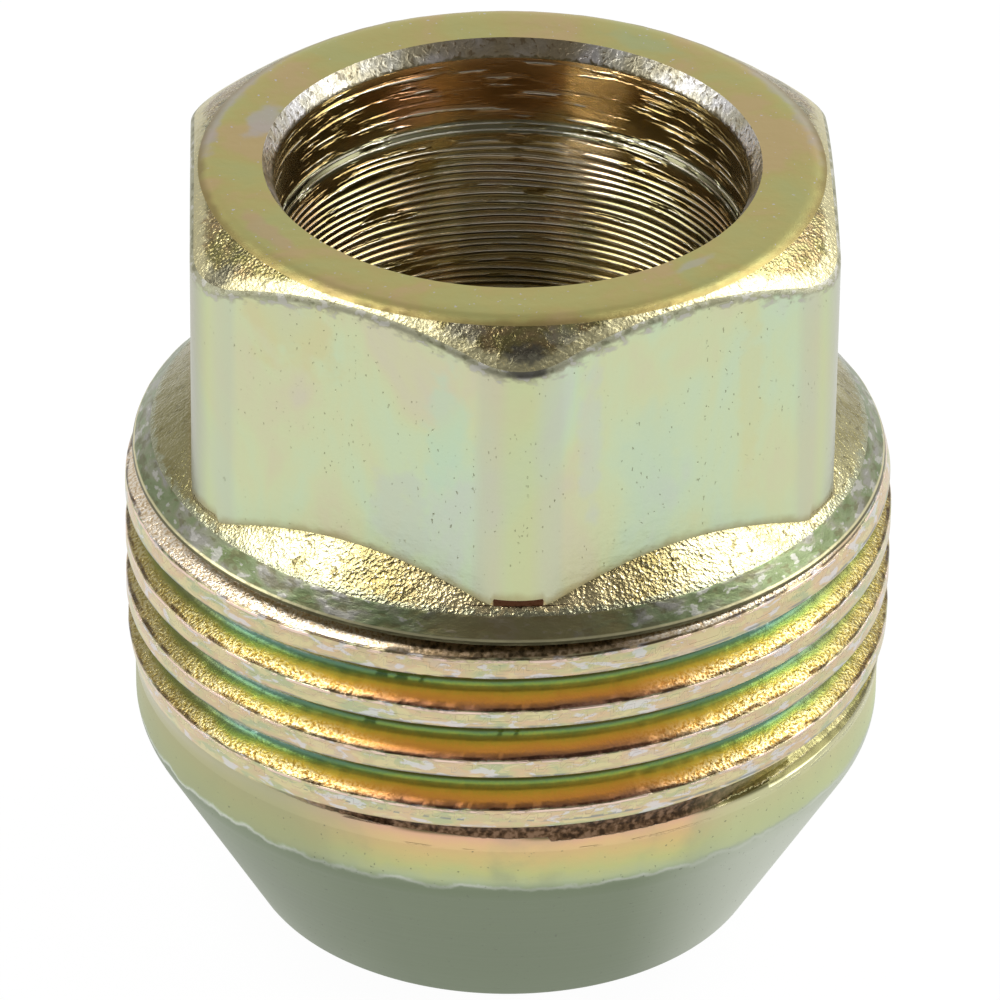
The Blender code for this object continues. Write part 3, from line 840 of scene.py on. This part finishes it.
def cut_thread():
    """The cap thread, cut before plating: the film's interference colours run across each
    groove from teal through green, yellow and orange to red brown, its torn lower flank
    sparkles, and the crests are pale patches of cream, peach, mint and lilac. Painted light is
    laid on the grooves: they turn greener away from the front, their upper part is darker at
    the front with painted shade, and at the sides their lower flank and the last turn carry
    pale painted glints.
    """
    material, add, at = metal("cut_thread", 0.32)
    along = add("Mapping", {"Vector": at.place, "Scale": (0.45, 0.45, 1.0)})
    wander = add("TexNoise", {"Vector": along, "Scale": 1 / 1.1, "Detail": 5.0})
    grain = add("TexNoise", {"Vector": at.place, "Scale": 1 / 0.11, "Detail": 2.0})

    # The film's thickness across the groove, shifted greener away from the front: painted light for
    # how the front and the sides are lit
    film = add("Math", {0: wander, 1: 0.4, 2: at.across}, **TIMES_PLUS)
    film = add("Math", {0: film, 1: within(add, 0.40, (at.turned, 14.0, 55.0))})
    film = add("Math", {0: grain, 1: 0.15, 2: film}, **TIMES_PLUS)
    film = add("MapRange", {0: film, 1: -0.73, 2: 1.27})
    groove = add("ValToRGB", {0: film}, stops=[
        (0.0, "B88874"), (0.07, "DC9868"), (0.15, "FCAC54"), (0.22, "FAB84C"), (0.29, "E0BC46"),
        (0.37, "B4AC48"), (0.44, "849C4C"), (0.51, "64845A"), (0.60, "5C8070"), (0.78, "F0EEE0")])
    lower = add("Math", {0: wander, 1: 0.5, 2: at.across}, **TIMES_PLUS)
    torn = add("ValToRGB", {0: grain}, stops=[
        (0.37, "6E5C30"), (0.45, "BEAA5E"), (0.58, "EEE4B4")])
    groove = coats(add, groove, [
        # Painted shade: the groove's upper part darker at the front
        ("3E4A34", 0.4, (at.across, 0.02, 0.22), (at.turned, 36.0, 16.0)),
        # Painted glints: pale torn grain on the lower flank at the sides
        (torn, 0.8, (at.turned, 14.0, 34.0), (lower, -0.22, -0.52)),
        ("7A6E3E", 0.6, (at.turned, 44.0, 62.0)),
    ])

    # Crests: patches drawn out along the turn
    smear = add("Mapping", {"Vector": at.place, "Scale": (0.38, 0.38, 1.1)})
    patch = add("TexNoise", {"Vector": smear, "Scale": 1.6, "Detail": 4.0})
    crest = add("ValToRGB", {0: patch}, stops=[
        (0.38, "B9BE96"), (0.45, "CCC496"), (0.52, "D0BE98"), (0.58, "D8BE98"), (0.66, "D2C0A4")])
    flakes = add("TexNoise", {"Vector": smear, "Scale": 2.8, "Detail": 4.0, "Distortion": 0.4})
    crest = coats(add, crest, [
        ("DADAE0", 0.65, (flakes, 0.56, 0.61)), ("DCD0A0", 0.7, (flakes, 0.45, 0.40))])

    # The last turn under the lip is torn, brown in front, with painted highlights in peach at the
    # sides
    climb = add("Math", {0: at.angle, 1: -PITCH / 360, 2: at.z}, **TIMES_PLUS)
    dirt = add("TexNoise", {"Vector": at.place, "Scale": 1 / 0.22, "Detail": 3.0})
    brown = add("ValToRGB", {0: dirt}, stops=[
        (0.36, "5A4C36"), (0.48, "9A8260"), (0.60, "CCB08C")])
    peach = add("ValToRGB", {0: grain}, stops=[
        (0.36, "C8AE88"), (0.48, "ECD8B8"), (0.60, "FAF0E0")])
    brown = coats(add, brown, [(peach, 1.0, (at.turned, 12.0, 26.0))])
    groove = coats(add, groove, [(brown, 1.0, (climb, 16.10, 16.16), (at.angle, -160.0, -90.0))])

    # The run-out: a brown torn band with a step in its lower edge, smooth olive at the right
    begin, step, _ = BAND_ANGLES
    high, low, lowest = BAND_HEIGHTS
    slope = add("MapRange", {0: at.angle, 1: begin, 2: BAND_LEVEL_FROM, 3: -0.206, 4: 0.139})
    behind = add("MapRange", {0: at.angle, 1: -180.0, 2: begin, 3: -0.225, 4: 0.0})
    level = add("MapRange", {0: at.angle, 1: begin, 2: step, 3: high, 4: low})
    drop = add("MapRange", {0: at.angle, 1: 4.7, 2: 5.3, 3: 0.0, 4: lowest - low})
    for part in (drop, slope, behind):
        level = add("Math", {0: level, 1: part})
    over = add("Math", {0: at.z, 1: level}, operation="SUBTRACT")
    over = add("Math", {0: dirt, 1: 0.08, 2: over}, **TIMES_PLUS)
    band = within(add, 1.0, (over, 0.02, 0.05), (climb, 9.90, 9.86), (at.angle, 72.0, 58.0),
                  (at.angle, -50.0, -24.0))
    torn_band = add("ValToRGB", {0: dirt}, stops=[
        (0.38, "3A2C20"), (0.50, "5E4834"), (0.62, "806650")])
    torn_band = coats(add, torn_band, [("AAA472", 1.0, (at.angle, 24.0, 52.0))])
    barrel = coats(add, chromate_band(add, at), [("56522E", 0.9, (at.depth, 0.01, 0.10))])
    zone = within(add, 1.0, (climb, 10.16, 10.08), (at.angle, 72.0, 58.0))
    worn = add("Math", {0: grain, 1: 0.06, 2: at.depth}, **TIMES_PLUS)
    inside = within(add, add("MapRange", {0: zone, 3: 1.0, 4: 0.0}), (worn, 0.04, 0.08))

    # Burrs and dark nicks along the groove's lower edge, and a grey scuff along its upper one
    edge = add("Math", {0: wander, 1: 0.25, 2: at.across}, **TIMES_PLUS)
    broken = add("TexNoise", {"Vector": along, "Scale": 1 / 0.45, "Detail": 6.0,
                              "Roughness": 0.65})
    burr = within(add, 0.9, (edge, -1.08, -1.02), (edge, -0.88, -0.92), (broken, 0.56, 0.46))
    colour = coats(add, crest, [
        (groove, inside),
        ("8C908C", 0.85, (edge, 1.08, 1.14), (edge, 1.30, 1.20), (broken, 0.38, 0.58)),
        ("3C281C", 0.85, (edge, -0.92, -0.86), (edge, -0.74, -0.80), (broken, 0.38, 0.58)),
        ("F0D4C4", burr),
        (torn_band, band),
        (barrel, 1.0, (over, 0.05, 0.02), (at.z, 10.0, 9.9)),
    ])
    sparkle = add("Math", {0: grain, 1: inside}, **TIMES)
    for measure, start, full, least in ((at.turned, 18.0, 45.0, 0.2), (lower, -0.22, -0.52, 0.25)):
        rough = add("MapRange", {0: measure, 1: start, 2: full, 3: least, 4: 1.0}, **SMOOTH)
        sparkle = add("Math", {0: sparkle, 1: rough}, **TIMES)
    soiled = add("Math", {0: dirt, 1: band}, **TIMES)
    bumps = [(flakes, 0.006), (sparkle, 0.04), (soiled, 0.03), (burr, 0.02)]
    return dress(material, add, bumps, colour)


def turned_seat():
    """The conical seat and barrel, turned and then burnished dull by the wheel: matte grey
    green, with the chromate's pink, tan, yellow and green bands left above a jagged pale line.
    Below the line it is darker towards the front with painted shade and paler on the right
    with painted light.
    """
    material, add, at = metal("turned_seat", 0.48)
    specks = add("TexNoise", {"Vector": at.place, "Scale": 1 / 0.14, "Detail": 1.0})
    specks = within(add, 0.6, (specks, 0.72, 0.77))
    colour = coats(add, chromate_band(add, at), [
        # Painted shade darkens the front and painted light pales the right, below the pale line
        ("768169", 0.75, (at.turned, 60.0, 15.0), (at.z, 7.6, 7.1)),
        ("C6CCBC", 0.9, (at.x, 3.5, 9.5), (at.z, 7.6, 7.1)),
        ("6A6E60", specks),
    ])
    rings = add("Mapping", {"Vector": at.place, "Scale": (0.09, 0.09, 3.0)})
    rings = add("TexNoise", {"Vector": rings, "Scale": 1.6, "Detail": 3.0})
    return dress(material, add, [(rings, 0.008), (specks, -0.01)], colour)


def faced_end():
    """The end face, faced and lightly rubbed: satin olive gold with faint pinkish and greenish
    clouds, a silvery rubbed streak at the left, tiny pale flecks, and a brown outer margin.
    """
    material, add, at = metal("faced_end", 0.38)
    tone = add("TexNoise", {"Vector": at.place, "Scale": 1 / 3.2, "Detail": 4.0,
                            "Distortion": 0.6})
    fine = add("TexNoise", {"Vector": at.place, "Scale": 1 / 0.5, "Detail": 4.0})
    tone = add("Math", {0: fine, 1: 0.12, 2: tone}, **TIMES_PLUS)
    colour = add("ValToRGB", {0: tone}, stops=[
        (0.42, "BCBA7A"), (0.52, "C0B976"), (0.60, "C3B674"), (0.69, "C9B27E")])
    edge = add("TexNoise", {"Vector": at.place, "Scale": 1 / 0.8, "Detail": 4.0})
    colour = blots(add, colour, at.unrolled, edge, [
        ((-107, 8.9, 28.5), (9, 0.7, 9), "BEBAC0", 0.6),
        ((-112, 10.6, 28.4), (24, 0.5, 9), "B6AEB4", 0.6),
        ((112, 10.6, 28.4), (24, 0.5, 9), "B6B0B4", 0.5),
        ((-60, 9.7, 28.5), (14, 0.5, 9), "CCA48E", 0.45),
        ((150, 9.4, 28.5), (12, 0.6, 9), "B0BE90", 0.4),
        ((40, 9.2, 28.5), (8, 0.3, 9), "C0BCC4", 0.4),
    ])
    flecks = add("TexNoise", {"Vector": at.place, "Scale": 1 / 0.17, "Detail": 1.0})
    margin = add("Math", {0: edge, 1: 0.3, 2: at.crown}, **TIMES_PLUS)
    colour = coats(add, colour, [
        ("D2CEDA", 0.8, (flecks, 0.73, 0.78)), ("8C7A4C", 0.8, (margin, 0.05, 0.40))])
    return dress(material, add, [(fine, 0.012)], colour)


def mouth_chamfer():
    """The counterbore's mouth, chamfered by a chattering tool: silvery, rough, browner at the
    far side."""
    material, add, at = metal("mouth_chamfer", 0.3)
    tone = add("TexNoise", {"Vector": at.place, "Scale": 1 / 1.2, "Detail": 4.0})
    colour = add("ValToRGB", {0: tone}, stops=[
        (0.38, "BAB296"), (0.5, "CECABA"), (0.6, "DEDCDA")])
    torn = add("TexNoise", {"Vector": at.place, "Scale": 1 / 0.22, "Detail": 4.0,
                            "Distortion": 0.5})
    foot = add("Math", {0: torn, 1: 0.3, 2: at.z}, **TIMES_PLUS)
    colour = coats(add, colour, [
        ("6E644C", 0.8, (torn, 0.42, 0.34)),
        ("8A7254", 0.6, (at.turned, 150.0, 168.0)),
        ("6E6446", 0.8, (foot, 28.14, 28.08)),
    ])
    return dress(material, add, [(torn, 0.04)], colour)


def turned_bore():
    """The counterbore, rough turned at 0.3 mm a turn: pale ring tops, painted highlights, flash
    in broken arcs over a dark olive and bronze wall, and the first 2.5 mm are smoother and
    browner. The far wall carries a painted amber glow and painted highlights, its middle a dark
    column of painted shade, and the step pale lines of painted highlight."""
    material, add, at = metal("turned_bore", 0.27)
    tall = add("Mapping", {"Vector": at.place, "Scale": (1, 1, 1.6)})
    tone = add("TexNoise", {"Vector": tall, "Scale": 1 / 2.6, "Detail": 4.0})
    colour = add("ValToRGB", {0: tone}, stops=[
        (0.38, "989066"), (0.5, "A49464"), (0.62, "AE946C")])
    colour = coats(add, colour, [("9C8654", 0.8, (at.z, 23.5, 25.2))])
    # Painted amber glow and painted highlights on the far wall
    colour = blots(add, colour, at.unrolled, tone, [
        ((180, 0, 27.0), (44, 99, 2.4), "AC7A48", 0.8),
        ((-180, 0, 27.0), (44, 99, 2.4), "AC7A48", 0.8),
        ((158, 0, 26.7), (12, 99, 2.3), "FFDA9A", 1.0),
        ((158, 0, 24.3), (11, 99, 1.5), "FFE8C0", 1.0),
        ((-157, 0, 26.4), (9, 99, 1.5), "CC9A74", 0.7),
    ])
    drift = add("Mapping", {"Vector": at.place, "Scale": (0.12, 0.12, 0.8)})
    drift = add("TexNoise", {"Vector": drift, "Scale": 1.0, "Detail": 1.0})
    height = add("Math", {0: drift, 1: 0.5, 2: at.z}, **TIMES_PLUS)
    wave = add("Math", {0: height, 1: TURN / 0.3}, **TIMES)
    wave = add("Math", {0: wave}, operation="SINE")
    dashes = add("Mapping", {"Vector": at.place, "Scale": (0.5, 0.5, 3.4)})
    dashes = add("TexNoise", {"Vector": dashes, "Scale": 1.0, "Detail": 3.0})
    fewer = add("MapRange", {0: at.z, 1: 24.0, 2: 25.2, 3: 0.06, 4: -0.11}, **SMOOTH)
    wave = within(add, wave, (add("Math", {0: dashes, 1: fewer}), 0.38, 0.50))
    deeper = add("MapRange", {0: at.turned, 1: 168.0, 2: 150.0, 3: 0.7, 4: 1.5}, **SMOOTH)
    height = add("Math", {0: wave, 1: deeper}, **TIMES)
    step = [(at.z, 24.99, 25.05), (at.z, 25.46, 25.40)]
    lines = add("Math", {0: at.z, 1: TURN / 0.19}, **TIMES)
    lines = add("Math", {0: lines}, operation="SINE")
    pale = within(add, 1.0, *step, (lines, 0.3, 0.8))
    # Painted highlights: pale ring tops, and pale lines on the step
    colour = coats(add, colour, [
        ("F6F2E6", 0.9, (wave, 0.45, 0.85)), ("8C8A6C", 1.0, *step), ("EAE8D6", pale),
        # Painted shade: a dark column in the far wall's middle
        ("5A4A32", 0.42, (at.turned, 164.0, 171.0))])
    return dress(material, add, [(height, 0.045), (pale, 0.03)], colour)


def tapped_bore():
    """The stud's thread, tapped before plating, which reached it thinly: dull dark olive."""
    material, add, at = metal("tapped_bore", 0.4)
    tone = add("TexNoise", {"Vector": at.place, "Scale": 1 / 1.5, "Detail": 4.0})
    colour = add("ValToRGB", {0: tone}, stops=[
        (0.38, "8E8660"), (0.5, "9C8C62"), (0.62, "A48A68")])
    fine = add("TexNoise", {"Vector": at.place, "Scale": 1 / 0.15, "Detail": 3.0})
    return dress(material, add, [(fine, 0.02)], colour)


def put(name, data):
    """A new object in the scene."""
    made = bpy.data.objects.new(name, data)
    bpy.context.scene.collection.objects.link(made)
    return made


def make_nut():
    """The nut's surface with its finishes; it replaces the CAD solid."""
    points, faces, finishes, marks = weld(nut_sheet())
    marks.update(edge_marks(points))
    made = {
        SEAT: turned_seat, THREAD: cut_thread, LEAD: turned_lead, SHOULDER: forged_shoulder,
        FLAT: drawn_flats, CHAMFER: sheared_chamfer, END: faced_end, MOUTH: mouth_chamfer,
        BORE: turned_bore, STUD: tapped_bore,
    }
    materials = [made[number]() for number in sorted(made)]
    mesh = make_mesh("yellow_zinc_nut", points, faces, finishes, marks, materials)
    nut = put("yellow_zinc_nut", mesh)
    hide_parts("lug_nut")
    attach(nut, "root")


def make_floor():
    """White paper under the nut: as bright as the backdrop where it is seen or mirrored."""
    half = 1.5
    corners = [(-half, -half, 0), (half, -half, 0), (half, half, 0), (-half, half, 0)]
    mesh = bpy.data.meshes.new("floor")
    mesh.from_pydata(corners, [], [(0, 1, 2, 3)])
    floor = put("floor", mesh)
    paper = bpy.data.materials.new("white_paper")
    paper.use_nodes = True
    tree = paper.node_tree
    tree.nodes.clear()
    path = node(tree, "LightPath")
    seen = node(tree, "Math", {0: path.outputs["Is Camera Ray"],
                               1: path.outputs["Is Glossy Ray"]}, operation="MAXIMUM")
    seen = node(tree, "Math", {0: seen, 1: path.outputs["Is Transmission Ray"]},
                operation="MAXIMUM")
    share = node(tree, "Math", {0: seen, 1: 0.95}, **TIMES)
    sheet = node(tree, "BsdfDiffuse", {"Color": (0.9, 0.9, 0.9, 1.0)})
    glow = node(tree, "Emission", {"Color": (1.0, 1.0, 1.0, 1.0), "Strength": 1.02})
    both = node(tree, "MixShader", {0: share, 1: sheet, 2: glow})
    node(tree, "OutputMaterial", {"Surface": both})
    mesh.materials.append(paper)


def make_camera():
    """Where the photograph was taken from, with the point at mid height that it looks at."""
    elevation = math.radians(32.22)
    yaw = math.radians(1.80)
    roll = math.radians(0.72)
    distance = 328.6
    scale = 28.607
    target = np.array([0.0, 0.0, 13.706])
    place = (507.89, 526.41)
    frame_width = 1000.0
    towards = np.array([
        -math.sin(yaw) * math.cos(elevation),
        -math.cos(yaw) * math.cos(elevation),
        math.sin(elevation),
    ])
    data = bpy.data.cameras.new("camera")
    data.sensor_width = 36.0
    data.lens = data.sensor_width * scale * distance / frame_width
    data.shift_x = (frame_width / 2 - place[0]) / frame_width
    data.shift_y = (place[1] - frame_width / 2) / frame_width
    data.clip_start = 0.01
    camera = put("camera", data)
    aim = Vector(-towards).to_track_quat("-Z", "Y").to_matrix().to_4x4()
    where = Matrix.Translation(Vector((target + distance * towards) * MM))
    camera.matrix_world = where @ aim @ Matrix.Rotation(roll, 4, "Z")
    bpy.context.scene.camera = camera


def make_world():
    """A white tent with a dim cap overhead, darker towards the camera and a little at the
    left. The camera sees it white; the metal mirrors the tent as it is, since the photo's
    end face and chamfers show a dim cap over the white surroundings."""
    world = bpy.data.worlds.new("studio")
    bpy.context.scene.world = world
    world.use_nodes = True
    tree = world.node_tree
    tree.nodes.clear()
    place = node(tree, "TexCoord").outputs["Generated"]
    axes = node(tree, "SeparateXYZ", {0: place})
    cap = node(tree, "MapRange", {0: axes.outputs[2], 1: 0.45, 2: 0.85, 3: 0.85, 4: 0.22},
               **SMOOTH)
    front = node(tree, "MapRange", {0: axes.outputs[1], 1: -0.1, 2: -0.7, 3: 1.0, 4: 0.35},
                 **SMOOTH)
    left = node(tree, "MapRange", {0: axes.outputs[0], 1: -0.9, 2: 0.2, 3: 0.7, 4: 1.0}, **SMOOTH)
    level = node(tree, "Math", {0: cap, 1: front}, **TIMES)
    level = node(tree, "Math", {0: level, 1: left}, **TIMES)
    path = node(tree, "LightPath")
    shown = node(tree, "Mix", {0: path.outputs["Is Camera Ray"], 2: level, 3: 1.0},
                 data_type="FLOAT")
    tent = node(tree, "Background", {"Color": (1.0, 1.0, 1.0, 1.0), "Strength": shown})
    node(tree, "OutputWorld", {"Surface": tent})


def make_softboxes():
    """Four square softboxes aimed at the nut: two high and two low, at the left and right."""
    distance = 0.25
    for name, towards, side, radiance in (
        ("softbox_high_left", (-0.49, 0.06, 0.87), 0.12, 5.5),
        ("softbox_high_right", (0.59, 0.18, 0.78), 0.13, 5.5),
        ("softbox_low_left", (-0.95, -0.07, 0.33), 0.09, 3.5),
        ("softbox_low_right", (0.95, -0.07, 0.33), 0.09, 3.5),
    ):
        data = bpy.data.lights.new(name, "AREA")
        data.shape = "SQUARE"
        data.size = side
        data.energy = radiance * math.pi * side * side
        lamp = put(name, data)
        towards = Vector(towards).normalized()
        aim = towards.to_track_quat("Z", "Y").to_matrix().to_4x4()
        lamp.matrix_world = Matrix.Translation(towards * distance) @ aim


make_nut()
make_floor()
make_camera()
make_world()
make_softboxes()
bpy.context.scene.view_settings.view_transform = "Standard"
